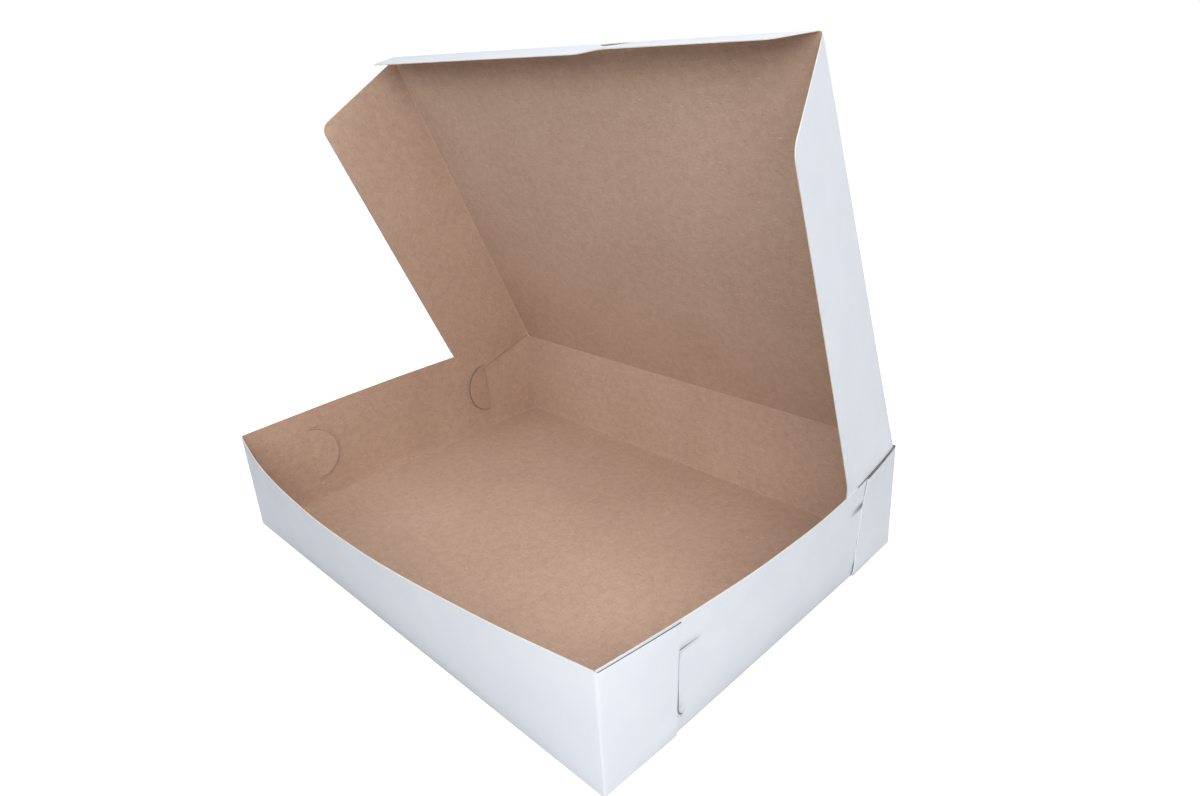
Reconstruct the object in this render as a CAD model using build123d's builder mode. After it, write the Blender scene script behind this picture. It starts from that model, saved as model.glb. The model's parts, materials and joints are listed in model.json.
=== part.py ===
"""Half-sheet bakery box, folded from one creased paperboard blank, standing open.

Frame: origin at the middle of the floor's underside, X to the right along the front
wall, Y from front to back, Z up. Millimetres and degrees.
"""

import os
from math import cos, radians, sin, sqrt

from build123d import *

os.makedirs("parts", exist_ok=True)

# Board and tray
board = 0.6
tray_width = 482.6
tray_depth = 355.6
wall_height = 97.0
wall_end_gap = 0.2

# How far each wall's top edge bows outwards, and where along the wall it bows most
front_bow = 25.0
front_crest_x = -20.0
side_bow = 15.0
right_crest_y = 15.0
left_crest_y = 55.0

# Corner locks: an ear from the front or back wall lies outside the side wall's end,
# and its half-round head goes through a slit to lie inside the wall
ear_length = 65.0
ear_gap = 0.15
ear_foot = 1.2
ear_top_drop = 1.6
head_radius = 27.0
head_centre_height = 49.0
neck_clearance = 0.2
slit_kerf = 0.6
slit_end_clearance = 1.2
slit_arm_length = 16.0
slit_tail_radius = 5.0
slit_tail_turn = 75.0

# Lid, side flaps and front tuck flap
lid_open_angle = 67.8
fold_gap = 0.3
lid_front_gap = 0.7
flap_side_gap = 0.8
flap_depth = 95.0
flap_back_gap = 1.0
flap_front_gap = 2.0
flap_slope = 26.0
flap_corner_radius = 12.0
flap_splay_back = 1.0
flap_splay_front = 17.5
front_flap_depth = 34.0
front_flap_angle = 75.0
front_flap_inset = 13.0
front_flap_corner_radius = 12.0
front_flap_end_gap = 1.6
thumb_centre_x = 72.0
thumb_width = 36.0
thumb_depth = 11.0
thumb_kerf = 0.8

# Places that follow from the sizes above
fold_radius = board / 2
ear_outer = ear_gap + board
head_outer = -board - ear_gap
head_inner = head_outer - board
hinge_y = tray_depth / 2 - fold_radius
front_fold = tray_depth - 2 * board - lid_front_gap
side_fold_x = tray_width / 2 + head_inner - flap_side_gap - fold_radius
lid_half_width = side_fold_x - fold_radius - fold_gap
corner_x = tray_width / 2 + ear_outer
half_depth = tray_depth / 2
neck_place = half_depth - ear_length - neck_clearance - board / 2

# Each wall's own frame: x along the wall, y outwards, z up from the foot of its outer face
up = Vector(0, 0, 1)
front_wall = Plane(origin=(0, -half_depth, 0), x_dir=(-1, 0, 0), z_dir=up)
back_wall = Plane(origin=(0, half_depth, 0), x_dir=(1, 0, 0), z_dir=up)
right_wall = Plane(origin=(tray_width / 2, 0, 0), x_dir=(0, -1, 0), z_dir=up)
left_wall = Plane(origin=(-tray_width / 2, 0, 0), x_dir=(0, 1, 0), z_dir=up)

# The lid's own frame: x to the right, y from the hinge to the front, z to its kraft side
lid_rise = radians(lid_open_angle)
lid_plane = Plane(
    origin=(0, hinge_y, wall_height),
    x_dir=(1, 0, 0),
    z_dir=(0, -sin(lid_rise), -cos(lid_rise)),
)


def upright(wall):
    """The vertical plane through a wall's outer face: x along the wall, y up."""
    return Plane(origin=wall.origin, x_dir=wall.x_dir, z_dir=wall.x_dir.cross(up))


def bow_points(half_length, base, height, crest):
    """Control points of a curve over a base line. It leaves the line at both ends and
    stands its full height over it at the crest."""
    middle = crest * 4 / 3
    arm = half_length / 3
    reach = base + height * 4 / 3
    return [(-half_length, base), (middle - arm, reach), (middle + arm, reach), (half_length, base)]


def bowed_sheet(wall, half_length, bow, crest, inner, outer):
    """A standing sheet between two offsets from a wall's outer face. Its foot is straight
    and its top edge bows outwards."""
    with BuildPart() as sheet:
        for level, lean in ((0, 0), (wall_height, bow)):
            with BuildSketch(wall.offset(level)):
                with BuildLine():
                    outside = Bezier(*bow_points(half_length, outer, lean, crest))
                    inside = Bezier(*bow_points(half_length, inner, lean, crest))
                    Line(outside @ 0, inside @ 0)
                    Line(outside @ 1, inside @ 1)
                make_face()
        loft(ruled=True)
    return sheet.part


def wall_outline(wall, half_length, top, bow, crest):
    """A block with a wall's outline. The top edge sinks where the wall leans out, because
    the board keeps its height along the slope."""
    drop = wall_height - sqrt(wall_height**2 - bow**2)
    with BuildPart() as block:
        with BuildSketch(upright(wall)):
            with BuildLine():
                rim = Bezier(*bow_points(half_length, top, -drop, crest))
                Polyline(rim @ 1, (half_length, 0), (-half_length, 0), rim @ 0)
            make_face()
        extrude(amount=2 * bow + wall_height, both=True)
    return block.part


def trimmed(sheet, outline):
    """A sheet cut to an outline."""
    with BuildPart() as piece:
        add(sheet)
        add(outline, mode=Mode.INTERSECT)
    return piece.part


def ear_outline(wall, end):
    """A block with the outline of a corner ear, out to its neck. The end is -1 or 1: the
    end of the side wall, along the wall's x, that the ear wraps."""
    rim = wall_height - ear_top_drop
    neck_reach = half_depth - neck_place + board / 2
    with BuildPart() as block:
        with BuildSketch(upright(wall)):
            with Locations((end * (half_depth - ear_length / 2), (ear_foot + rim) / 2)):
                Rectangle(ear_length, rim - ear_foot)
            with Locations((end * (half_depth - neck_reach / 2), head_centre_height)):
                Rectangle(neck_reach, 2 * head_radius)
        extrude(amount=wall_height, both=True)
    return block.part


def neck_outline(wall, end):
    """A block with the outline of the strip of a lock that passes through the slit."""
    with BuildPart() as block:
        with BuildSketch(upright(wall)):
            with Locations((end * neck_place, head_centre_height)):
                Rectangle(board, 2 * head_radius)
        extrude(amount=wall_height, both=True)
    return block.part


def head_outline(wall, end):
    """A block with the half-round outline of a lock's head."""
    root = neck_place + board / 2
    with BuildPart() as block:
        with BuildSketch(upright(wall)):
            with Locations((end * root, head_centre_height)):
                Circle(head_radius)
            with Locations((end * (root + head_radius), head_centre_height)):
                Rectangle(2 * head_radius, 2 * head_radius, mode=Mode.SUBTRACT)
        extrude(amount=wall_height, both=True)
    return block.part


def slit_outline(wall, end):
    """A block with the outline of a lock's slit: a straight cut, with an arm at its top
    and a curled tail at its foot that both turn away from the corner."""
    half_slit = head_radius + slit_end_clearance
    top = head_centre_height + half_slit
    foot = head_centre_height - half_slit
    place = end * neck_place
    with BuildPart() as block:
        with BuildSketch(upright(wall)):
            with BuildLine():
                Line((place - end * slit_arm_length, top), (place, top))
                Line((place, top), (place, foot))
                JernArc((place, foot), (0, -1), slit_tail_radius, -end * slit_tail_turn)
            trace(line_width=slit_kerf)
            with Locations((place, head_centre_height)):
                Rectangle(board + 2 * neck_clearance, 2 * half_slit)
        extrude(amount=wall_height, both=True)
    return block.part


def corner_lock(wall, end, bow, crest):
    """A corner ear outside a side wall, its neck through the wall and its head inside."""
    outside = bowed_sheet(wall, half_depth, bow, crest, ear_gap, ear_outer)
    through = bowed_sheet(wall, half_depth, bow, crest, head_inner, ear_outer)
    inside = bowed_sheet(wall, half_depth, bow, crest, head_inner, head_outer)
    ear = trimmed(outside, ear_outline(wall, end))
    neck = trimmed(through, neck_outline(wall, end))
    head = trimmed(inside, head_outline(wall, end))
    with BuildPart() as lock:
        add(ear)
        add(neck)
        add(head)
    return lock.part


def side_wall(wall, bow, crest):
    """A side wall with the slits for its two corner locks."""
    sheet = bowed_sheet(wall, half_depth, bow, crest, -board, 0)
    length = half_depth - board - wall_end_gap
    outline = wall_outline(wall, length, wall_height, bow, crest)
    slits = [slit_outline(wall, end) for end in (-1, 1)]
    with BuildPart() as panel:
        add(sheet)
        add(outline, mode=Mode.INTERSECT)
        add(slits, mode=Mode.SUBTRACT)
    return panel.part


def end_wall(wall, top, bow, crest):
    """A front or back wall, out to the corners where its ears fold back."""
    sheet = bowed_sheet(wall, corner_x, bow, crest, -board, 0)
    return trimmed(sheet, wall_outline(wall, corner_x, top, bow, crest))


def splay(share):
    """A side flap's lean outwards, in degrees, at a share of the way from the hinge to
    the lid's front. It opens quickly where the flap clears the tray's rim."""
    return flap_splay_back + (flap_splay_front - flap_splay_back) * sqrt(share)


def flap_section(side, share):
    """The plane across a side flap, from its fold: x along the flap's depth."""
    lean = radians(splay(share))
    return Plane(
        origin=lid_plane.from_local_coords((side * side_fold_x, share * front_fold, 0)),
        x_dir=lid_plane.z_dir * cos(lean) + lid_plane.x_dir * side * sin(lean),
        z_dir=lid_plane.y_dir,
    )


def flap_outline():
    """A block with a side flap's outline: square at the hinge, sloped at the front, with
    a rounded free corner between them."""
    front = front_fold - flap_front_gap
    corner = (front - flap_slope, flap_depth * cos(radians(flap_splay_front)))
    with BuildPart() as block:
        with BuildSketch(Plane(origin=lid_plane.origin, x_dir=lid_plane.y_dir, z_dir=lid_plane.x_dir)) as shape:
            Polygon(
                (flap_back_gap, -board),
                (front, -board),
                (front, 0),
                corner,
                (flap_back_gap, flap_depth * cos(radians(flap_splay_back))),
                align=None,
            )
            free_corner = shape.vertices().sort_by_distance((*corner, 0))[0]
            fillet(free_corner, radius=flap_corner_radius)
        extrude(amount=tray_width, both=True)
    return block.part


def side_flap(side):
    """A side flap, twisted outwards towards the lid's front, with the fold's bead."""
    length = front_fold - flap_back_gap - flap_front_gap
    outline = flap_outline()
    fold = Plane(
        origin=lid_plane.from_local_coords((side * side_fold_x, flap_back_gap, 0)),
        x_dir=lid_plane.x_dir,
        z_dir=lid_plane.y_dir,
    )
    with BuildPart() as flap:
        for share in (0, 1 / 8, 1 / 2, 1):
            with BuildSketch(flap_section(side, share)):
                Rectangle(flap_depth + board, board, align=(Align.MIN, Align.CENTER))
        loft()
        add(outline, mode=Mode.INTERSECT)
        with BuildSketch(fold):
            Circle(fold_radius)
        extrude(amount=length)
    return flap.part


# Tray: floor, walls and the four corner locks, one folded sheet
front_panel = end_wall(front_wall, wall_height, front_bow, -front_crest_x)
back_panel = end_wall(back_wall, wall_height - fold_radius - fold_gap, 0, 0)
side_panels = [
    side_wall(right_wall, side_bow, -right_crest_y),
    side_wall(left_wall, side_bow, left_crest_y),
]
locks = [
    corner_lock(wall, end, side_bow, crest)
    for wall, crest in ((right_wall, -right_crest_y), (left_wall, left_crest_y))
    for end in (-1, 1)
]
with BuildPart() as tray:
    Box(tray_width, tray_depth, board, align=(Align.CENTER, Align.CENTER, Align.MIN))
    add(front_panel)
    add(back_panel)
    add(side_panels)
    add(locks)

# Lid: a flat panel whose hinge edge is a rounded fold
with BuildPart() as lid:
    with BuildSketch(lid_plane):
        Rectangle(
            2 * lid_half_width,
            front_fold - fold_radius - fold_gap,
            align=(Align.CENTER, Align.MIN),
        )
    extrude(amount=board / 2, both=True)
    with BuildSketch(Plane(origin=lid_plane.origin, x_dir=lid_plane.y_dir, z_dir=lid_plane.x_dir)):
        Circle(fold_radius)
    extrude(amount=lid_half_width, both=True)

# Side flaps
left_flap = side_flap(-1)
right_flap = side_flap(1)

# Front tuck flap, with a half-round thumb slit under its fold
tuck = radians(front_flap_angle)
tuck_dir = lid_plane.y_dir * cos(tuck) + lid_plane.z_dir * sin(tuck)
tuck_plane = Plane(
    origin=lid_plane.from_local_coords((0, front_fold, 0)),
    x_dir=lid_plane.x_dir,
    z_dir=lid_plane.x_dir.cross(tuck_dir),
)
tuck_half_width = side_fold_x - front_flap_end_gap
with BuildPart() as front_flap:
    with BuildSketch(tuck_plane) as tuck_shape:
        Polygon(
            (-tuck_half_width, 0),
            (tuck_half_width, 0),
            (tuck_half_width - front_flap_inset, front_flap_depth),
            (front_flap_inset - tuck_half_width, front_flap_depth),
            align=None,
        )
        fillet(tuck_shape.vertices().group_by(Axis.Y)[-1], radius=front_flap_corner_radius)
        with BuildLine():
            ThreePointArc(
                (thumb_centre_x - thumb_width / 2, thumb_kerf),
                (thumb_centre_x, thumb_depth),
                (thumb_centre_x + thumb_width / 2, thumb_kerf),
            )
        trace(line_width=thumb_kerf, mode=Mode.SUBTRACT)
    extrude(amount=board / 2, both=True)
    with BuildSketch(Plane(origin=tuck_plane.origin, x_dir=tuck_plane.y_dir, z_dir=tuck_plane.x_dir)):
        Circle(fold_radius)
    extrude(amount=tuck_half_width, both=True)

pieces = {
    "tray": tray.part,
    "lid": lid.part,
    "left_flap": left_flap,
    "right_flap": right_flap,
    "front_flap": front_flap.part,
}
for name, piece in pieces.items():
    piece.label = name
    export_step(piece, f"parts/{name}.step")
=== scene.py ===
"""Looks of a half-sheet bakery box: one sheet of paperboard, coated white outside and
bare kraft inside, standing open.

Lengths are in millimetres up to the place where a mesh is made, and in metres from there.
"""

import json
from math import cos, pi, radians, sin

import bpy
import numpy as np
from mathutils import Matrix, Vector
from mathutils.geometry import delaunay_2d_cdt


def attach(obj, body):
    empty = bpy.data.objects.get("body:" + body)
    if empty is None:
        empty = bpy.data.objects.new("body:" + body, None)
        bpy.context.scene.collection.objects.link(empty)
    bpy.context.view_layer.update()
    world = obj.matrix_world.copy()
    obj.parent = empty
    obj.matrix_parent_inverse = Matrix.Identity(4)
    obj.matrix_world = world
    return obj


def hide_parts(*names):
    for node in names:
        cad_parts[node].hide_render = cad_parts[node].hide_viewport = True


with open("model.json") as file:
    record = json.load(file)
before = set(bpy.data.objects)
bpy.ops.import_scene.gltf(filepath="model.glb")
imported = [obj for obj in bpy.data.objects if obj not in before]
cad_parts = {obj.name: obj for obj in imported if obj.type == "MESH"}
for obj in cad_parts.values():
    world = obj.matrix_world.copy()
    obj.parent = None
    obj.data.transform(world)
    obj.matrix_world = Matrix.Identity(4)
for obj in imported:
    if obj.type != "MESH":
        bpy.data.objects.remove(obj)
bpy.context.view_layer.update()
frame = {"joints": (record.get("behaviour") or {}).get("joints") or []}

MM = 0.001

# The box's driving sizes. Where one has two values, -1 is the left side or the front, and
# 1 is the right side or the back
board = 0.6
tray_width = 482.6
tray_depth = 355.6
wall_height = 97.0
wall_end_gap = 0.2
front_bow = 25.0
front_crest_x = -20.0
side_bow = 15.0
right_crest_y = 15.0
left_crest_y = 55.0
foot_turn = 0.9
ear_length = 65.0
ear_gap = 0.15
ear_foot = 1.2
ear_top_drop = {-1: 1.6, 1: 0.4}
neck_play = 0.2
head_step = 0.5
head_radius = {-1: 27.0, 1: 23.4}
head_height = {-1: 49.0, 1: 47.8}
slit_end_clearance = 1.2
slit_arm_length = 18.0
slit_tail_radius = 9.0
slit_tail_turn = 55.0
slit_tail_shift = 1.0
flap_depth = 95.0
flap_back_gap = 1.0
flap_front_gap = 2.0
flap_slope = 26.0
flap_corner_radius = 12.0
front_flap_depth = 34.0
front_flap_inset = 13.0
front_flap_corner_radius = 12.0
front_flap_end_gap = 1.6
thumb_centre_x = 72.0
thumb_width = 36.0
thumb_depth = 11.0
thumb_kerf = 0.8

# How the board is rounded at its folds and cuts. A slit's line is widest where a neck
# goes through it, and its widths are shares of the kerf
fold_radius = board / 2
foot_radius = 1.0
corner_round = 1.3
jog_length = 0.9
slit_kerf = 0.15
slit_width_shares = (0.6, 1, 1, 4, 1, 0.6)

# How the board springs: an ear's shoulders off the side wall, from a start measured in
# the head's radius, the lock heads off its inside, the side flaps outwards until the wall
# holds them, and the front flap with its thumb tab
shoulder_lift = 1.1
shoulder_start = 1.05
shoulder_run = 14.0
upper_shoulder_share = 0.45
ear_stiff_length = 10.0
back_head_shift = 0.85
head_lift = {-1: 1.8, 1: 4.0}
flap_splay_back = 8.0
flap_splay_front = 18.5
flap_splay_power = 0.75
hinge_bulge = 3.0
hinge_bulge_length = 20.0
hinge_bulge_depth = 5.0
rim_clearance = 0.15
rim_overhang = 0.25
rim_blend = 1.4
least_blend = 0.01
front_flap_left_angle = 77.8
front_flap_right_angle = 73.4
thumb_tab_lift = 7.0

# How finely the sheets are divided
sheet_spacing = 5.0
edge_spacing = 3.0
ripple_height = 0.22
line_gap = 1.0
# The widths of the painted shadow lines at cuts and of the painted fold highlights
shadow_line_fade = 0.5
head_shadow_width = 0.8
strip_highlight_width = 1.6
lid_highlight_width = 0.8

# Which finish a face of a sheet has. The shaded edge is painted shade: the cut edge in near black.
WHITE, KRAFT, EDGE, SHADED_EDGE = 0, 1, 2, 3

# Places that follow from the sizes, on the board's middle surface
half_width = tray_width / 2
half_depth = tray_depth / 2
wall_x = half_width - fold_radius
wall_y = half_depth - fold_radius
ear_offset = ear_gap + fold_radius
head_offset = -board - ear_gap - fold_radius
corner_x = half_width + ear_offset
neck_length = ear_length + neck_play

# The lid's own frame comes from the joints: y from the hinge to the front, z to its kraft side
joints = {joint["name"]: joint for joint in frame["joints"]}
hinge = np.array(joints["lid_hinge"]["pos_m"]) / MM
lid_x = np.array([1.0, 0.0, 0.0])
lid_y = np.array(joints["right_flap_fold"]["axis"])
lid_z = np.cross(lid_x, lid_y)
side_fold_x = joints["right_flap_fold"]["pos_m"][0] / MM
front_fold = np.linalg.norm(np.array(joints["front_flap_fold"]["pos_m"]) / MM - hinge)


def bow(half_length, crest, height):
    """How far a wall's top edge stands out, along the wall: nothing at its ends, and its
    full height at its crest."""
    t = np.linspace(0, 1, 2001)
    middle, arm = crest * 4 / 3, half_length / 3
    first, second = 3 * t * (1 - t) ** 2, 3 * t**2 * (1 - t)
    along = half_length * (t**3 - (1 - t) ** 3) + (middle - arm) * first + (middle + arm) * second
    out = height / 0.75 * (first + second)
    return lambda place: np.interp(place, along, out)


front_lean = bow(corner_x, front_crest_x, front_bow)
side_lean = {1: bow(half_depth, right_crest_y, side_bow), -1: bow(half_depth, left_crest_y, side_bow)}


def no_lean(along):
    """The back wall stands straight."""
    return 0 * along


def eased(share):
    """A smooth step from 0 to 1."""
    share = np.clip(share, 0, 1)
    return share * share * (3 - 2 * share)


def soft_min(first, second, blend):
    """The smaller of two values, rounded where they meet."""
    share = np.clip(0.5 + (second - first) / (2 * blend), 0, 1)
    return second + (first - second) * share - blend * share * (1 - share)


def profile(height):
    """A leaning wall's way out at a height, as a share of its top edge's: it turns out
    most at its foot."""
    share = np.clip(height / wall_height, 0, 1)
    return share + foot_turn * share * (1 - share) ** 3


def rim(lean):
    """The height of a wall's top edge where it leans out, as the board keeps its height."""
    return np.sqrt(wall_height**2 - lean**2)


def ripple(along, height, seed):
    """The board's own slight waves, which fade out at its folds."""
    share = np.clip(height / wall_height, 0, 1)
    wave = (
        np.sin(along / 31 + seed)
        + 0.6 * np.sin(along / 17 + height / 40 + 2 * seed)
        + 0.4 * np.sin(along / 11 - height / 25 + 3 * seed)
    )
    return ripple_height * wave * np.sin(pi * share / 1.3)


def foot(height):
    """Where the foot's round has taken a wall's sheet: its height, and its way in."""
    turn = (1 - np.clip(height / foot_radius, 0, 1)) * pi / 2
    mid_radius = foot_radius - fold_radius
    lifted = np.where(turn > 0, foot_radius - mid_radius * np.sin(turn), height)
    inward = mid_radius * (1 - np.cos(turn))
    return lifted, inward


def spring(beyond, from_neck, radius):
    """How far an ear stands off the side wall: its shoulders, above and below its neck,
    and the lower one most."""
    apart = eased((np.abs(from_neck) - shoulder_start * radius) / shoulder_run)
    apart = apart * np.where(from_neck > 0, upper_shoulder_share, 1)
    return shoulder_lift * apart * eased((beyond - ear_stiff_length) / (ear_length - ear_stiff_length))


def end_wall_place(out, lean, seed):
    """The middle surface of the front or back wall with its two ears, as a function of
    the place along the strip and the height. Out is -1 in front and 1 behind."""

    def wall_point(along, height):
        lifted, inward = foot(height)
        shift = lean(along) * profile(height) + ripple(along, height, seed) * (lean is front_lean)
        return np.stack([along, out * (wall_y + shift - inward), lifted], axis=-1)

    def ear_point(side, beyond, height):
        place_y = out * (wall_y - beyond)
        jog = eased((beyond - neck_length) / jog_length + 0.5)
        radius = np.where(side > 0, head_radius[1], head_radius[-1])
        from_neck = height - np.where(side > 0, head_height[1], head_height[-1])
        lifted = head_lift[out] * np.clip((beyond - neck_length) / radius, 0, 1)
        head = head_offset - back_head_shift * (out > 0) - lifted
        offset = ear_offset + (head - ear_offset) * jog + spring(beyond, from_neck, radius) * (1 - jog)
        leaning = np.where(side > 0, side_lean[1](place_y), side_lean[-1](place_y))
        wave = np.where(side > 0, ripple(place_y, height, 1), ripple(place_y, height, 2))
        reach = half_width + offset + leaning * profile(height) + wave
        return np.stack([side * reach, place_y, height], axis=-1)

    def place(along, height):
        side = np.where(along < 0, -1, 1)
        beyond = np.abs(along) - corner_x
        on_wall = wall_point(along, height)
        on_ear = ear_point(side, beyond, height)
        start = wall_point(side * (corner_x - corner_round), height)
        finish = ear_point(side, 0 * beyond + corner_round, height)
        corner = np.stack([side * corner_x, 0 * beyond + out * wall_y, height], axis=-1)
        turn = np.clip((beyond + corner_round) / (2 * corner_round), 0, 1)[..., None]
        rounded = (1 - turn) ** 2 * start + 2 * turn * (1 - turn) * corner + turn**2 * finish
        point = np.where((beyond > 0)[..., None], on_ear, on_wall)
        return np.where((np.abs(beyond) < corner_round)[..., None], rounded, point)

    return place


def side_wall_place(side):
    """The middle surface of a side wall."""

    def place(along, height):
        lifted, inward = foot(height)
        wave = ripple(along, height, 1 if side > 0 else 2)
        reach = wall_x + side_lean[side](along) * profile(height) + wave - inward
        return np.stack([side * reach, along, lifted], axis=-1)

    return place


def floor_place(across, along):
    """The middle surface of the floor."""
    return np.stack([across, along, 0 * across + fold_radius], axis=-1)


def lid_place(across, down):
    """The middle surface of the lid: across it, and from the hinge to the front."""
    return hinge + across[..., None] * lid_x + down[..., None] * lid_y


def splay(down):
    """A side flap's lean outwards where nothing holds it, at a distance from the hinge."""
    share = np.clip(down / front_fold, 0, 1) ** flap_splay_power
    return np.radians(flap_splay_back + (flap_splay_front - flap_splay_back) * share)


def side_flap_place(side):
    """The middle surface of a side flap: from the hinge to the front, and its depth. It
    leans outwards until the side wall holds it, and bulges out to the wall by the hinge."""

    def place(down, depth):
        lean = splay(down)
        point = hinge + down[..., None] * lid_y + (depth * np.cos(lean))[..., None] * lid_z
        leaning = side_lean[side](point[..., 1]) * profile(point[..., 2])
        over_rim = rim_overhang * np.clip(point[..., 2] - wall_height, 0, None)
        room = wall_x - board - rim_clearance + leaning + over_rim - side_fold_x
        from_fold = eased(depth / hinge_bulge_depth)
        bulge = hinge_bulge * np.exp(-down / hinge_bulge_length) * from_fold
        blend = rim_blend * from_fold + least_blend
        reach = side_fold_x + soft_min(depth * np.sin(lean) + bulge, room, blend)
        return point + side * reach[..., None] * lid_x

    return place


def thumb_circle():
    """The thumb slit's circle: its height below the fold, and its radius."""
    chord, height = thumb_width / 2, thumb_depth - thumb_kerf
    radius = (chord**2 + height**2) / (2 * height)
    return thumb_depth - radius, radius


def front_flap_place(across, depth):
    """The middle surface of the front flap. It is folded a little further to the left of
    the thumb slit, and the slit's tab stands up."""
    level, radius = thumb_circle()
    on_tab = np.hypot(across - thumb_centre_x, depth - level) < radius
    right = eased((across - thumb_centre_x) / thumb_width + 0.5)
    tuck = front_flap_left_angle + (front_flap_right_angle - front_flap_left_angle) * right
    tuck = np.radians(tuck - thumb_tab_lift * on_tab)[..., None]
    away = np.cos(tuck) * lid_y + np.sin(tuck) * lid_z
    return hinge + front_fold * lid_y + across[..., None] * lid_x + depth[..., None] * away


def divided(loop, spacing):
    """A closed outline with points added so that no stretch is longer than the spacing."""
    points = []
    for start, end in zip(loop, np.roll(loop, -1, axis=0)):
        steps = max(1, int(np.ceil(np.linalg.norm(end - start) / spacing)))
        points += [start + (end - start) * i / steps for i in range(steps)]
    return np.array(points)


def arc(centre, radius, start, turn, steps=16):
    """Points along an arc, from a start angle through a turn, in degrees."""
    angles = np.radians(start + turn * np.linspace(0, 1, steps + 1))
    return np.stack([centre[0] + radius * np.cos(angles), centre[1] + radius * np.sin(angles)], axis=1)


def rounded_corner(before, corner, after, radius, steps=10):
    """Points of an arc that rounds off a corner between two straight edges."""
    before, corner, after = (np.array(p, float) for p in (before, corner, after))
    towards = (before - corner) / np.linalg.norm(before - corner)
    onwards = (after - corner) / np.linalg.norm(after - corner)
    half = np.arccos(np.clip(towards @ onwards, -1, 1)) / 2
    middle = (towards + onwards) / np.linalg.norm(towards + onwards)
    centre = corner + middle * radius / np.sin(half)
    start = corner + towards * radius / np.tan(half) - centre
    finish = corner + onwards * radius / np.tan(half) - centre
    shares = np.linspace(0, 1, steps + 1)[:, None]
    spread = pi / 2 - half
    turned = np.sin(2 * spread * (1 - shares)) * start + np.sin(2 * spread * shares) * finish
    return centre + turned / np.sin(2 * spread)


def band(line, width):
    """The outline of a narrow slot along a line. The width is one, or one a point."""
    line = np.array(line, float)
    step = np.diff(line, axis=0)
    step /= np.linalg.norm(step, axis=1)[:, None]
    normals = np.stack([-step[:, 1], step[:, 0]], axis=1)
    corners = np.vstack([normals[:1], normals[:-1] + normals[1:], normals[-1:]])
    corners /= np.linalg.norm(corners, axis=1)[:, None]
    reach = np.concatenate([[1], (normals[1:] * corners[1:-1]).sum(1), [1]])
    shift = corners * (np.array(width) / 2 / reach)[:, None]
    return np.vstack([line + shift, (line - shift)[::-1]])


def inside(points, loop):
    """Which points lie inside a closed outline."""
    x, y = points[:, 0], points[:, 1]
    found = np.zeros(len(points), bool)
    for (x0, y0), (x1, y1) in zip(loop, np.roll(loop, -1, axis=0)):
        if y0 == y1:
            continue
        crosses = (y0 > y) != (y1 > y)
        found ^= crosses & (x < (x1 - x0) * (y - y0) / (y1 - y0) + x0)
    return found


def triangles(outline, holes, rings, spacing, columns, rows):
    """An outline with holes as small triangles. Rings, columns and rows are where its
    points stand in lines, round a cut or along a fold."""

    def clear(point):
        off_columns = all(abs(point[0] - c) > line_gap for c in columns)
        return off_columns and all(abs(point[1] - r) > line_gap for r in rows)

    loops = [divided(loop, edge_spacing) for loop in (outline, *holes, *rings)]
    low, high = outline.min(0), outline.max(0)
    counts = np.maximum(2, np.ceil((high - low) / spacing).astype(int))
    steps = (high - low) / counts
    grid = [
        (low[0] + (i + 0.5 * (j % 2)) * steps[0], low[1] + j * steps[1])
        for i in range(counts[0] + 1)
        for j in range(counts[1] + 1)
    ]
    lines = [[(c, y) for y in np.linspace(low[1], high[1], counts[1] + 1)] for c in columns]
    lines += [[(x, r) for x in np.linspace(low[0], high[0], counts[0] + 1)] for r in rows]
    grid = np.array([p for p in grid if clear(p)])
    edge_points = np.vstack(loops)
    nearest = np.array([np.min(np.hypot(*(edge_points - p).T)) for p in grid])
    grid = grid[nearest > 0.45 * edge_spacing]
    points, edges = [], []
    for loop in loops:
        first = len(points)
        points += list(loop)
        edges += [(first + i, first + (i + 1) % len(loop)) for i in range(len(loop))]
    for line in lines:
        first = len(points)
        points += line
        edges += [(first + i, first + i + 1) for i in range(len(line) - 1)]
    points += list(grid)
    result = delaunay_2d_cdt([Vector(p) for p in points], edges, [], 0, 1e-4)
    flat = np.array([tuple(p) for p in result[0]])
    faces = np.array([tuple(f) for f in result[2]])
    centres = flat[faces].mean(1)
    kept = inside(centres, outline)
    for hole in holes:
        kept &= ~inside(centres, hole)
    faces = faces[kept]
    used, faces = np.unique(faces, return_inverse=True)
    return flat[used], faces.reshape(-1, 3)


def nothing(along, height):
    """No mark anywhere on a sheet."""
    return 0.0 * along


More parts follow.
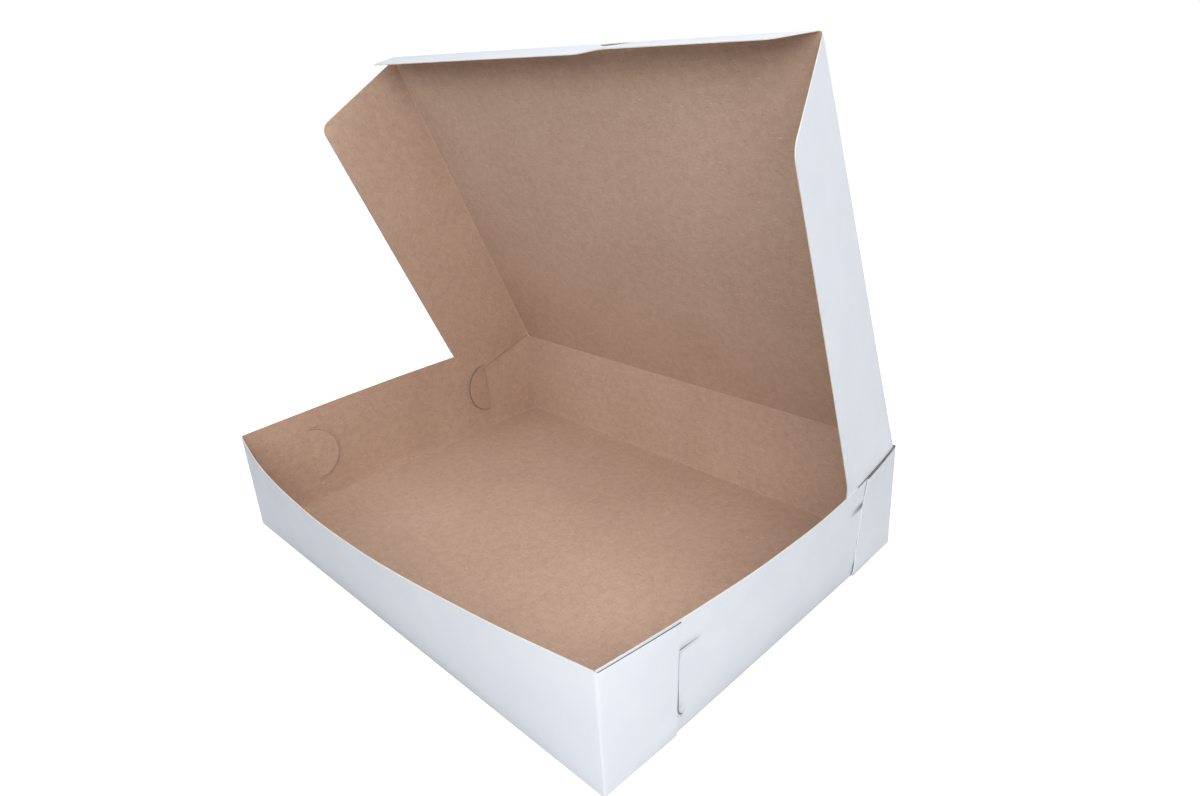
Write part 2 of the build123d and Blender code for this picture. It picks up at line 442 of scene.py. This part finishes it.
def sheet(
    place,
    outline,
    holes=(),
    rings=(),
    outward=1,
    spacing=sheet_spacing,
    columns=(),
    rows=(),
    crease_highlight=nothing,
    inner_crease_highlight=None,
    cut_shadow=nothing,
    inner_cut_shadow=nothing,
    painted_shade_rim=nothing,
    seed=0,
):
    """A sheet of board: both its faces and its cut edge. Outward is 1 if the white side is where its two
    directions, crossed, point. The crease highlight is a painted highlight along a fold and the cut shadow
    is a painted shadow line at a cut, both on the white side, and the inner ones are those on the kraft
    side. A rim in a slit, at an ear or behind a flap takes the shaded cut edge, a painted shade. Each side
    of each sheet has its own level in the materials' noise, which keeps them apart."""
    flat, faces = triangles(np.array(outline, float), holes, rings, spacing, columns, rows)
    u, v = flat[:, 0], flat[:, 1]
    tiny = 0.02
    across = place(u + tiny, v) - place(u - tiny, v)
    along = place(u, v + tiny) - place(u, v - tiny)
    normal = np.cross(across, along) * outward
    normal /= np.linalg.norm(normal, axis=1)[:, None]
    middle = place(u, v)
    count = len(flat)
    points = np.vstack([middle + normal * fold_radius, middle - normal * fold_radius])
    corners = flat[faces]
    turned = np.cross(corners[:, 1] - corners[:, 0], corners[:, 2] - corners[:, 0]) * outward < 0
    faces[turned] = faces[turned][:, ::-1]
    used = {}
    for a, b, c in faces:
        for edge in ((a, b), (b, c), (c, a)):
            used[edge] = used.get(edge, 0) + 1
    rims = [(b, a, a + count, b + count) for a, b in used if (b, a) not in used]
    shaded = painted_shade_rim(u, v)
    rim_sides = [SHADED_EDGE if shaded[b] and shaded[a] else EDGE for b, a, *_ in rims]
    levels = [np.column_stack([flat, 0 * u + 1000 * seed + level]) for level in (0, 500)]
    return {
        "points": points,
        "faces": [tuple(f) for f in faces] + [tuple(f[::-1] + count) for f in faces] + rims,
        "sides": [WHITE] * len(faces) + [KRAFT] * len(faces) + rim_sides,
        "flat": np.vstack(levels),
        "crease_highlight": np.concatenate([crease_highlight(u, v), (inner_crease_highlight or crease_highlight)(u, v)]),
        "cut_shadow": np.concatenate([cut_shadow(u, v), inner_cut_shadow(u, v)]),
    }


def bead(start, end, white_way, steps=12):
    """The round of a fold: a thin rod along it, white on its outer side, and painted all over with the
    fold's highlight.
    """
    start, end, white_way = (np.array(v, float) for v in (start, end, white_way))
    run = (end - start) / np.linalg.norm(end - start)
    white_way = white_way / np.linalg.norm(white_way)
    sideways = np.cross(run, white_way)
    rings = max(2, int(np.linalg.norm(end - start) / 20))
    points, faces, sides, flat = [], [], [], []
    for i in range(rings + 1):
        for k in range(steps):
            angle = 2 * pi * (k + 0.5) / steps
            centre = start + (end - start) * i / rings
            points.append(centre + fold_radius * (cos(angle) * white_way + sin(angle) * sideways))
            flat.append((i * 20.0, k * 0.2, 9000.0))
    for i in range(rings):
        for k in range(steps):
            after = (k + 1) % steps
            a, b = i * steps + k, i * steps + after
            faces.append((a, b, b + steps, a + steps))
            sides.append(WHITE if cos(2 * pi * (k + 1) / steps) > -0.1 else KRAFT)
    last = rings * steps
    faces += [tuple(range(steps))[::-1], tuple(range(last, last + steps))]
    sides += [EDGE, EDGE]
    return {
        "points": np.array(points),
        "faces": faces,
        "sides": sides,
        "flat": np.array(flat),
        # The whole round carries the painted fold highlight
        "crease_highlight": np.ones(len(points)),
        "cut_shadow": np.zeros(len(points)),
    }


def piece(name, parts, finishes):
    """One piece made of its sheets and beads. It stands for the CAD node of its name."""
    points = np.vstack([part["points"] for part in parts]) * MM
    faces, sides, first = [], [], 0
    for part in parts:
        faces += [tuple(int(i) + first for i in face) for face in part["faces"]]
        sides += part["sides"]
        first += len(part["points"])
    mesh = bpy.data.meshes.new(name)
    mesh.from_pydata(points.tolist(), [], faces)
    for finish in finishes:
        mesh.materials.append(finish)
    mesh.polygons.foreach_set("material_index", sides)
    mesh.polygons.foreach_set("use_smooth", [True] * len(faces))
    mesh.set_sharp_from_angle(angle=radians(38))
    place = mesh.attributes.new("sheet_place", "FLOAT_VECTOR", "POINT")
    place.data.foreach_set("vector", np.vstack([part["flat"] for part in parts]).astype(np.float32).ravel())
    # The painted fold highlight and the painted shadow lines ride on the points
    for kind in ("crease_highlight", "cut_shadow"):
        values = mesh.attributes.new(kind, "FLOAT", "POINT")
        values.data.foreach_set("value", np.concatenate([part[kind] for part in parts]).astype(np.float32))
    mesh.validate()
    made = bpy.data.objects.new(name + "_board", mesh)
    bpy.context.scene.collection.objects.link(made)
    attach(made, name)
    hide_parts(name)
    return made


def near(distance, reach):
    """A painted fold highlight's strength: 1 on a fold, fading out within its reach."""
    return np.clip(1 - np.abs(distance) / reach, 0, 1)


# Materials
def nodes_of(name):
    """A new material with its node tree, shader and place on the sheet."""
    material = bpy.data.materials.new(name)
    material.use_nodes = True
    tree = material.node_tree
    shader = tree.nodes["Principled BSDF"]
    place = tree.nodes.new("ShaderNodeAttribute")
    place.attribute_name = "sheet_place"
    return material, tree, shader, place.outputs["Vector"]


def noise(tree, place, scale, detail=2.0, roughness=0.5, stretch=(1, 1, 1), turn=0.0):
    """A noise over the sheet. Scale is in waves a millimetre, and stretch divides it."""
    mapping = tree.nodes.new("ShaderNodeMapping")
    mapping.inputs["Rotation"].default_value = (0, 0, radians(turn))
    mapping.inputs["Scale"].default_value = [scale / s for s in stretch]
    texture = tree.nodes.new("ShaderNodeTexNoise")
    texture.inputs["Scale"].default_value = 1.0
    texture.inputs["Detail"].default_value = detail
    texture.inputs["Roughness"].default_value = roughness
    tree.links.new(place, mapping.inputs["Vector"])
    tree.links.new(mapping.outputs["Vector"], texture.inputs["Vector"])
    return texture.outputs["Fac"]


def between(tree, value, low, high, start=0.0, end=1.0):
    """A value's way from low to high, as a share from start to end."""
    node = tree.nodes.new("ShaderNodeMapRange")
    node.inputs["From Min"].default_value = low
    node.inputs["From Max"].default_value = high
    node.inputs["To Min"].default_value = start
    node.inputs["To Max"].default_value = end
    tree.links.new(value, node.inputs["Value"])
    return node.outputs["Result"]


def mixed(tree, share, first, second, mode="MIX"):
    """Two colours mixed by a share."""
    node = tree.nodes.new("ShaderNodeMix")
    node.data_type = "RGBA"
    node.blend_type = mode
    sockets = [node.inputs["Factor"]] + [i for i in node.inputs if i.type == "RGBA"]
    for socket, value in zip(sockets, (share, first, second)):
        if isinstance(value, bpy.types.NodeSocket):
            tree.links.new(value, socket)
        else:
            socket.default_value = (*value, 1.0) if isinstance(value, tuple) else value
    return next(o for o in node.outputs if o.type == "RGBA")


def arithmetic(tree, operation, first, second):
    """A sum on two values."""
    node = tree.nodes.new("ShaderNodeMath")
    node.operation = operation
    for socket, value in zip(node.inputs, (first, second)):
        if isinstance(value, bpy.types.NodeSocket):
            tree.links.new(value, socket)
        else:
            socket.default_value = value
    return node.outputs["Value"]


def relief(tree, shader, height, distance, strength):
    """A fine relief on a surface. Distance is in metres."""
    node = tree.nodes.new("ShaderNodeBump")
    node.inputs["Distance"].default_value = distance
    node.inputs["Strength"].default_value = strength
    tree.links.new(height, node.inputs["Height"])
    tree.links.new(node.outputs["Normal"], shader.inputs["Normal"])


def mark(tree, name):
    """A painted mark from the mesh: the highlight along a fold, or the shadow line at a cut."""
    node = tree.nodes.new("ShaderNodeAttribute")
    node.attribute_name = name
    return node.outputs["Fac"]


def kraft_finish():
    """Bare recycled kraft: cloudy, mottled, and full of short light and dark fibres, with a painted
    highlight along its folds and a painted shadow along its cuts.
    """
    material, tree, shader, place = nodes_of("kraft_inside")
    clouds = between(tree, noise(tree, place, 0.015, 2), 0.3, 0.7)
    colour = mixed(tree, clouds, (0.580, 0.409, 0.311), (0.618, 0.444, 0.342))
    mottle = between(tree, noise(tree, place, 0.13, 4, 0.7), 0.40, 0.62)
    colour = mixed(tree, mottle, mixed(tree, 1.0, colour, (0.90, 0.895, 0.90), "MULTIPLY"), colour)
    grain = between(tree, noise(tree, place, 0.55, 3, 0.6), 0.36, 0.64)
    colour = mixed(tree, grain, mixed(tree, 1.0, colour, (0.90, 0.90, 0.90), "MULTIPLY"), colour)
    fibres = None
    for turn in (12, 57, 98, 151):
        dark = between(tree, noise(tree, place, 0.6, 1, 0.4, (4, 1, 1), turn), 0.69, 0.79)
        light = between(tree, noise(tree, place, 0.6, 1, 0.4, (5, 1, 1), turn + 31), 0.71, 0.81)
        colour = mixed(tree, arithmetic(tree, "MULTIPLY", dark, 0.42), colour, (0.34, 0.215, 0.150))
        colour = mixed(tree, arithmetic(tree, "MULTIPLY", light, 0.38), colour, (0.82, 0.66, 0.54))
        lift = arithmetic(tree, "SUBTRACT", light, dark)
        fibres = lift if fibres is None else arithmetic(tree, "ADD", fibres, lift)
    # Painted highlight along the folds: a light kraft colour on the fold's mark
    fold = arithmetic(tree, "MULTIPLY", mark(tree, "crease_highlight"), 0.6)
    colour = mixed(tree, fold, colour, (0.88, 0.72, 0.61))
    # Painted shadow along the cuts: dark brown where a lock head's edge or a slit lies in shade
    cut_shadow = arithmetic(tree, "MULTIPLY", mark(tree, "cut_shadow"), 0.6)
    colour = mixed(tree, cut_shadow, colour, (0.20, 0.13, 0.10))
    tree.links.new(colour, shader.inputs["Base Color"])
    shader.inputs["Roughness"].default_value = 0.88
    shader.inputs["Specular IOR Level"].default_value = 0.25
    clumps = arithmetic(tree, "MULTIPLY", mottle, 0.7)
    strands = arithmetic(tree, "MULTIPLY", fibres, 0.35)
    height = arithmetic(tree, "ADD", clumps, strands)
    relief(tree, shader, arithmetic(tree, "ADD", height, grain), 0.00008, 0.5)
    return material


def white_finish():
    """White clay coat: smooth, cool, with a faint cloud and orange peel, a painted highlight along its
    folds and a painted shadow in its slits.
    """
    material, tree, shader, place = nodes_of("white_outside")
    clouds = between(tree, noise(tree, place, 0.03, 2), 0.3, 0.7)
    colour = mixed(tree, clouds, (0.815, 0.855, 0.920), (0.845, 0.880, 0.935))
    specks = between(tree, noise(tree, place, 0.35, 2, 0.6), 0.68, 0.80)
    colour = mixed(tree, arithmetic(tree, "MULTIPLY", specks, 0.25), colour, (0.66, 0.68, 0.72))
    # Painted highlight along the folds
    fold = arithmetic(tree, "MULTIPLY", mark(tree, "crease_highlight"), 0.5)
    colour = mixed(tree, fold, colour, (0.86, 0.88, 0.91))
    # Painted shadow in the slits: near black where their gaps lie in shade
    cut_shadow = arithmetic(tree, "MULTIPLY", mark(tree, "cut_shadow"), 0.9)
    colour = mixed(tree, cut_shadow, colour, (0.10, 0.10, 0.12))
    tree.links.new(colour, shader.inputs["Base Color"])
    rough = between(tree, noise(tree, place, 0.1, 2), 0.3, 0.7, 0.40, 0.52)
    tree.links.new(rough, shader.inputs["Roughness"])
    shader.inputs["Specular IOR Level"].default_value = 0.45
    peel = noise(tree, place, 0.45, 2, 0.5)
    waves = noise(tree, place, 0.02, 1, 0.5)
    height = arithmetic(tree, "ADD", arithmetic(tree, "MULTIPLY", peel, 0.04), waves)
    relief(tree, shader, height, 0.0006, 0.35)
    return material


def edge_finish(name, dark, light):
    """The board's cut edge, with the layers' fine lines."""
    material, tree, shader, place = nodes_of(name)
    fibre = between(tree, noise(tree, place, 0.9, 2, 0.6), 0.3, 0.7)
    colour = mixed(tree, fibre, dark, light)
    tree.links.new(colour, shader.inputs["Base Color"])
    shader.inputs["Roughness"].default_value = 0.9
    shader.inputs["Specular IOR Level"].default_value = 0.2
    relief(tree, shader, fibre, 0.0001, 0.5)
    return material


# Outlines
def half_strip(side, top_wall, drop):
    """Half of the front or back wall with its ear and lock head, unfolded: along the
    strip from its middle, and up. The drop is the ear's top below the wall's."""
    ear_top = wall_height - drop
    ear_end = corner_x + ear_length
    radius, level = head_radius[side], head_height[side]
    places = np.linspace(0, corner_x - corner_round, 60)
    points = list(zip(places, top_wall(side * places)))
    points += [(corner_x + corner_round, ear_top), (ear_end, ear_top), (ear_end, level + radius)]
    points += list(arc((ear_end + head_step, level), radius, 90, -180, 32))
    points += [(ear_end, level - radius), (ear_end, ear_foot)]
    points += [(corner_x + corner_round, ear_foot), (half_width, ear_foot), (half_width - foot_radius, 0)]
    return [(side * x, z) for x, z in points]


def strip_outline(top_wall, drop):
    """The front or back wall with both its ears."""
    return np.array(half_strip(1, top_wall, drop) + half_strip(-1, top_wall, drop)[:0:-1])


def slit_line(side, end):
    """A slit's line in a side wall, at its front or back end, and its width along it."""
    place = end * (half_depth - neck_length - fold_radius)
    half_slit = head_radius[side] + slit_end_clearance
    top, bottom = head_height[side] + half_slit, head_height[side] - half_slit
    centre = (place - end * (slit_tail_radius + slit_tail_shift), bottom)
    start = 0 if end > 0 else 180
    tail = arc(centre, slit_tail_radius, start, -end * slit_tail_turn, 8)
    arm = [(place - end * slit_arm_length * share, top) for share in (1, 0.5)]
    line = np.array(arm + [(place, top), (place, head_height[side])] + list(tail))
    widths = np.interp(np.arange(len(line)), [0, 1, 2, 3, 4, len(line) - 1], slit_width_shares)
    return line, slit_kerf * widths


def distance(points, line):
    """How far points lie from a line of straight runs."""
    found = np.full(len(points), np.inf)
    for start, end in zip(line[:-1], line[1:]):
        run = end - start
        share = np.clip((points - start) @ run / (run @ run), 0, 1)
        found = np.minimum(found, np.linalg.norm(points - start - share[:, None] * run, axis=1))
    return found


def front_top(x):
    """The front wall's top edge."""
    return rim(front_lean(x))


def back_top(x):
    """The back wall's top edge, on which the lid's fold lies."""
    return 0 * x + wall_height - fold_radius


def from_head(along, height):
    """How far a place on an end strip lies beyond its ear's end and above its lock head's
    middle, and the head's radius."""
    side = np.where(along < 0, -1, 1)
    level = np.where(side > 0, head_height[1], head_height[-1])
    radius = np.where(side > 0, head_radius[1], head_radius[-1])
    return np.abs(along) - corner_x - ear_length, height - level, radius


def neck_shadow_line(along, height):
    """A painted shadow line where a neck goes into its slit."""
    beyond, level, radius = from_head(along, height)
    line = np.clip(1.6 - np.abs(beyond - 0.1) / shadow_line_fade, 0, 1)
    return line * (level < radius - 0.1) * (level > -radius - 1)


def head_edge_shadow(along, height):
    """A painted shadow line along a lock head's round edge."""
    beyond, level, radius = from_head(along, height)
    inward = radius - np.hypot(beyond - head_step, level)
    return np.clip(1 - inward / head_shadow_width, 0, 1) * (beyond > 1.2)


def tray_sheets():
    """The floor, the two end strips and the two side walls."""
    fold_columns = [
        side * (corner_x + corner_round * share)
        for side in (-1, 1)
        for share in np.linspace(-1, 1, 7)
    ]
    jog_columns = [
        side * (corner_x + neck_length + jog_length * share)
        for side in (-1, 1)
        for share in (-1, -0.5, -0.3, -0.1, 0.1, 0.3, 0.5, 1)
    ]
    foot_rows = [foot_radius * share for share in (0.25, 0.5, 0.75, 1.0)]
    head_rings = [
        (side, 1) * arc(
            (corner_x + ear_length + head_step, head_height[side]),
            head_radius[side] - head_shadow_width,
            84,
            -168,
            32,
        )
        for side in (-1, 1)
    ]
    sheets = []
    ends = ((-1, front_lean, front_top, 1), (1, no_lean, back_top, 2))
    for out, lean, top, seed in ends:
        sheets.append(
            sheet(
                end_wall_place(out, lean, seed),
                strip_outline(top, ear_top_drop[out]),
                rings=head_rings,
                outward=-out,
                columns=fold_columns + jog_columns,
                rows=foot_rows,
                # Painted fold highlights at the corners on the white side; painted shadow lines at the
                # front necks and round the lock heads; the ears' rims take the painted shade
                crease_highlight=lambda u, v: near(np.abs(u) - corner_x, strip_highlight_width),
                inner_crease_highlight=nothing,
                cut_shadow=neck_shadow_line if out < 0 else nothing,
                inner_cut_shadow=head_edge_shadow,
                painted_shade_rim=lambda u, v: np.abs(u) > corner_x + 0.5,
                seed=seed,
            )
        )
    length = half_depth - board - wall_end_gap
    places = np.linspace(-length, length, 90)
    for side in (-1, 1):
        tops = rim(side_lean[side](places))
        outline = [(y, z) for y, z in zip(places, tops)] + [(length, 0), (-length, 0)]
        slits = [slit_line(side, end) for end in (-1, 1)]

        # A painted shadow line along the slits, where their gaps lie in shade
        def slit_shadow_line(along, height, side=side, slits=slits):
            points = np.stack([along, height], axis=1)
            nearest = np.min([distance(points, line) for line, _ in slits], axis=0)
            seen = (along < 0) | (height > head_height[side] + head_radius[side])
            to_slit = half_depth - neck_length - np.abs(along)
            taper = np.clip(1.3 - to_slit / slit_arm_length, 0.25, 1)
            strength = np.where(along > 0, 2.4, 1.7)
            return np.clip(strength - nearest / shadow_line_fade, 0, 1) * seen * taper

        sheets.append(
            sheet(
                side_wall_place(side),
                outline,
                holes=[band(line, widths) for line, widths in slits],
                rings=[band(line, widths + extra) for line, widths in slits for extra in (0.5, 1.3)],
                outward=side,
                rows=foot_rows,
                cut_shadow=slit_shadow_line,
                # Rims below the top and along the top behind the flaps take the painted shade
                painted_shade_rim=lambda u, v: (v < wall_height - 8) | (u > half_depth - 84),
                seed=3 + side,
            )
        )
    x, y = half_width - foot_radius, half_depth - foot_radius
    floor_outline = [(-x, -y), (x, -y), (x, y), (-x, y)]
    sheets.append(sheet(floor_place, floor_outline, outward=-1, spacing=12, seed=6))
    return sheets


def lid_sheets():
    """The lid's panel, and the round of its hinge."""
    x = side_fold_x - fold_radius
    front = front_fold - fold_radius
    outline = [(-x, 0), (x, 0), (x, front), (-x, front)]
    lines = [side * (x - away) for side in (-1, 1) for away in (lid_highlight_width, 2 * lid_highlight_width)]
    panel = sheet(
        lid_place,
        outline,
        outward=-1,
        spacing=10,
        columns=lines,
        rows=[front - lid_highlight_width, front - 2 * lid_highlight_width],
        # A painted highlight along the lid's folds
        crease_highlight=lambda u, v: np.maximum(near(np.abs(u) - x, lid_highlight_width), near(v - front, lid_highlight_width)),
        seed=7,
    )
    hinge_bead = bead(hinge - x * lid_x, hinge + x * lid_x, lid_z * -1 + lid_y * -1)
    return [panel, hinge_bead]


def side_flap_sheets(side):
    """A side flap, sloped towards the front, with its free corner rounded."""
    front = front_fold - flap_front_gap
    back_corner = (flap_back_gap, flap_depth)
    free_corner = (front - flap_slope, flap_depth)
    outline = [(flap_back_gap, 0), (front, 0)]
    outline += list(rounded_corner((front, 0), free_corner, back_corner, flap_corner_radius))
    outline += [back_corner]
    flap = sheet(
        side_flap_place(side),
        outline,
        outward=side,
        spacing=6,
        rows=[lid_highlight_width, 2 * lid_highlight_width],
        # A painted highlight along the flap's fold
        crease_highlight=lambda u, v: near(v, lid_highlight_width),
        seed=9 + side,
    )
    fold = hinge + side * side_fold_x * lid_x
    white_way = -lid_z + side * lid_x
    return [flap, bead(fold + flap_back_gap * lid_y, fold + front * lid_y, white_way)]


def front_flap_sheets():
    """The front flap, with rounded ends and a half-round thumb slit."""
    half = side_fold_x - front_flap_end_gap
    deep = front_flap_depth
    near_corner, far_corner = (half, 0), (half - front_flap_inset, deep)
    outline = [(-half, 0), near_corner]
    outline += list(rounded_corner(near_corner, far_corner, (0, deep), front_flap_corner_radius))
    mirrored = [(-x, y) for x, y in outline[2:]]
    outline += mirrored[::-1]
    level, radius = thumb_circle()
    sweep = np.degrees(np.arcsin(thumb_width / 2 / radius))
    line = arc((thumb_centre_x, level), radius, 90 + sweep, -2 * sweep, 24)
    flap = sheet(
        front_flap_place,
        outline,
        holes=[band(line, thumb_kerf)],
        outward=-1,
        spacing=6,
        rows=[lid_highlight_width, 2 * lid_highlight_width],
        # A painted highlight along the flap's fold
        crease_highlight=lambda u, v: near(v, lid_highlight_width),
        seed=11,
    )
    fold = hinge + front_fold * lid_y
    return [flap, bead(fold - half * lid_x, fold + half * lid_x, lid_y - lid_z)]


# Surroundings
def pale_floor():
    """The floor's finish. It lights the box as a light grey floor does, and the eye sees
    it nearly white, as a lit table."""
    material = bpy.data.materials.new("pale_floor")
    material.use_nodes = True
    tree = material.node_tree
    shader = tree.nodes["Principled BSDF"]
    shader.inputs["Base Color"].default_value = (0.45, 0.45, 0.45, 1)
    shader.inputs["Roughness"].default_value = 0.95
    shader.inputs["Specular IOR Level"].default_value = 0.1
    shader.inputs["Emission Color"].default_value = (1, 1, 1, 1)
    ray = tree.nodes.new("ShaderNodeLightPath")
    glow = arithmetic(tree, "MULTIPLY", ray.outputs["Is Camera Ray"], 0.95)
    tree.links.new(glow, shader.inputs["Emission Strength"])
    return material


def floor_and_backdrop():
    """A pale floor that curves up far away, all round."""
    flat_radius, below, steps = 3.0, 0.0004, 72
    angles = np.linspace(0, pi / 2, 13)[1:]
    rings = [(flat_radius, 0)]
    rings += [(flat_radius + flat_radius * sin(a), flat_radius * (1 - cos(a))) for a in angles]
    turns = [2 * pi * k / steps for k in range(steps)]
    points = [(0, 0, -below)]
    for radius, height in rings:
        points += [(radius * cos(t), radius * sin(t), height - below) for t in turns]
    pairs = [(k, (k + 1) % steps) for k in range(steps)]
    faces = [(0, 1 + k, 1 + after) for k, after in pairs]
    for i in range(len(rings) - 1):
        low = 1 + i * steps
        high = low + steps
        faces += [(low + k, high + k, high + after, low + after) for k, after in pairs]
    mesh = bpy.data.meshes.new("floor")
    mesh.from_pydata(points, [], faces)
    mesh.polygons.foreach_set("use_smooth", [True] * len(faces))
    mesh.materials.append(pale_floor())
    made = bpy.data.objects.new("floor", mesh)
    bpy.context.scene.collection.objects.link(made)


def area_light(name, place, target, size, power, colour):
    """A soft square light that faces a point."""
    light = bpy.data.lights.new(name, "AREA")
    light.size = size
    light.energy = power
    light.color = colour
    made = bpy.data.objects.new(name, light)
    made.location = place
    made.rotation_euler = (Vector(target) - Vector(place)).to_track_quat("-Z", "Y").to_euler()
    bpy.context.scene.collection.objects.link(made)


def lights():
    """Large soft lights before, above and to the right of the box, a cool one to its left,
    and a faint even light from all round."""
    world = bpy.data.worlds.new("studio")
    world.use_nodes = True
    world.node_tree.nodes["Background"].inputs["Color"].default_value = (0.95, 0.975, 1.0, 1)
    world.node_tree.nodes["Background"].inputs["Strength"].default_value = 0.25
    bpy.context.scene.world = world
    bpy.context.scene.view_settings.view_transform = "Standard"
    middle = (0, 0, 0.12)
    area_light("key", (0.95, -0.75, 0.9), middle, 0.8, 10.0, (1.0, 0.99, 0.98))
    area_light("right", (1.6, 0.3, 0.9), middle, 0.8, 4.5, (0.98, 0.99, 1.0))
    area_light("high_right", (1.35, 0.45, 1.45), middle, 0.8, 8.5, (0.98, 0.99, 1.0))
    area_light("front", (0.3, -1.6, 1.0), middle, 0.8, 7.5, (0.98, 0.99, 1.0))
    area_light("top", (0.1, -0.2, 2.2), middle, 1.2, 12.5, (1.0, 1.0, 1.0))
    area_light("left", (-1.0, -1.3, 1.2), middle, 1.0, 6.5, (0.90, 0.95, 1.0))


# The photograph's view, fitted to the box's corners in its 1200 by 796 frame
picture_width = 1200.0
picture_height = 796.0
focal_length_px = 819.03
centre_px = (614.87, 368.39)
camera_place = (518.33, -418.22, 422.01)
camera_right = (0.7136, 0.69835, -0.05554)
camera_down = (0.2186, -0.2973, -0.92942)
camera_forward = (-0.66557, 0.6511, -0.36481)


def camera():
    """The camera at the photograph's viewing angle."""
    data = bpy.data.cameras.new("camera")
    data.sensor_fit = "HORIZONTAL"
    data.sensor_width = 36.0
    data.lens = focal_length_px / picture_width * data.sensor_width
    data.shift_x = (picture_width / 2 - centre_px[0]) / picture_width
    data.shift_y = (centre_px[1] - picture_height / 2) / picture_width
    data.clip_start = 0.01
    made = bpy.data.objects.new("camera", data)
    up, back = [-c for c in camera_down], [-c for c in camera_forward]
    turn = Matrix((camera_right, up, back)).transposed().to_4x4()
    made.matrix_world = Matrix.Translation(Vector(camera_place) * MM) @ turn
    bpy.context.scene.collection.objects.link(made)
    bpy.context.scene.camera = made


finishes = (
    white_finish(),
    kraft_finish(),
    edge_finish("cut_edge", (0.66, 0.60, 0.52), (0.82, 0.78, 0.72)),
    # The shaded cut edge is painted shade, near black, for rims in slits, at the ears and behind the flaps
    edge_finish("shaded_cut_edge", (0.03, 0.03, 0.035), (0.07, 0.065, 0.065)),
)
piece("tray", tray_sheets(), finishes)
piece("lid", lid_sheets(), finishes)
piece("left_flap", side_flap_sheets(-1), finishes)
piece("right_flap", side_flap_sheets(1), finishes)
piece("front_flap", front_flap_sheets(), finishes)

floor_and_backdrop()
lights()
camera()
